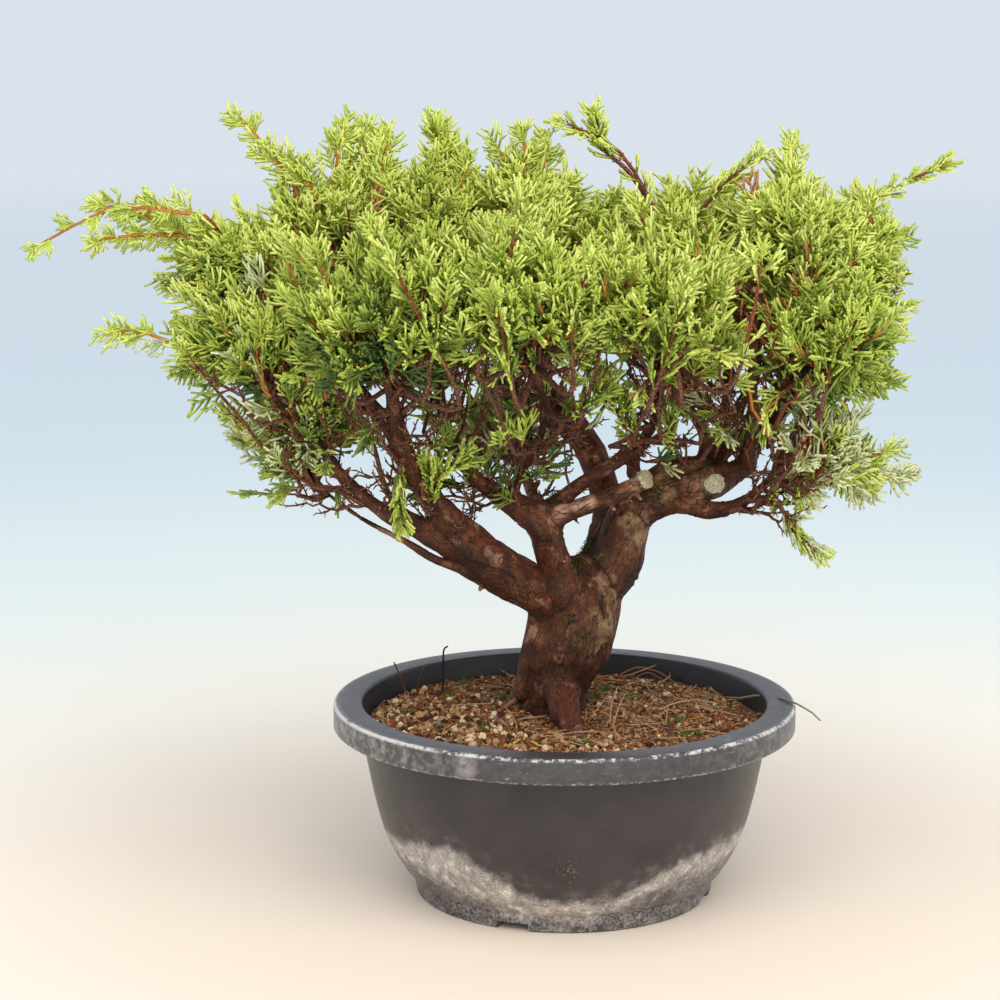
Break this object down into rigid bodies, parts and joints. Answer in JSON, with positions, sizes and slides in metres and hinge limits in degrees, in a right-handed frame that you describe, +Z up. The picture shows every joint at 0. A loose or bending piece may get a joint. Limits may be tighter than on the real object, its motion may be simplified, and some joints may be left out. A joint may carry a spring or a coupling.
{
  "type": "itoigawa chinese juniper bonsai",
  "caption": "Potted juniper bonsai: a short thick trunk forks into bent boughs that carry a wide, flat-topped crown of fine whipcord foliage over a round plastic pot.",
  "frame": {"origin": "middle of the pot's flat underside, on the pot's axis", "axes": "+Z up along the pot's axis, +X along the crown's long spread, towards its shorter side, and the tree's front looks along -Y"},
  "size_m": [0.456, 0.3029, 0.3931],
  "materials": {
    "pot": "satin, scuffed, with a whitish lime mark round the foot",
    "soil": "rough grains",
    "bark": "rough, flaking",
    "foliage": "matte"
  },
  "bodies": {
    "root": {"pot": "pot", "soil": "soil", "trunk": "bark", "bough_left": "bark", "bough_left_low": "bark", "bough_left_under": "bark", "bough_far_left": "bark", "bough_upper_left": "bark", "bough_middle": "bark", "bough_middle_stub": "bark", "bough_middle_riser": "bark", "bough_centre_front": "bark", "bough_middle_back": "bark", "bough_right": "bark", "bough_right_riser": "bark", "bough_right_low": "bark", "bough_right_cut": "bark", "bough_right_front": "bark", "bough_far_right": "bark", "bough_back_right": "bark", "bough_back": "bark", "bough_back_left": "bark", "bough_back_centre": "bark", "mass_far_left": "foliage", "mass_left_low": "foliage", "mass_left_under": "foliage", "mass_upper_left": "foliage", "mass_front_left": "foliage", "mass_front_centre": "foliage", "mass_front_right": "foliage", "mass_top_left": "foliage", "mass_top_centre": "foliage", "mass_top_right": "foliage", "mass_upper_right": "foliage", "mass_far_right": "foliage", "mass_right": "foliage", "mass_right_low": "foliage", "mass_back_low": "foliage", "mass_back_left": "foliage", "mass_back_centre": "foliage", "mass_back_right": "foliage"}
  },
  "joints": []
}
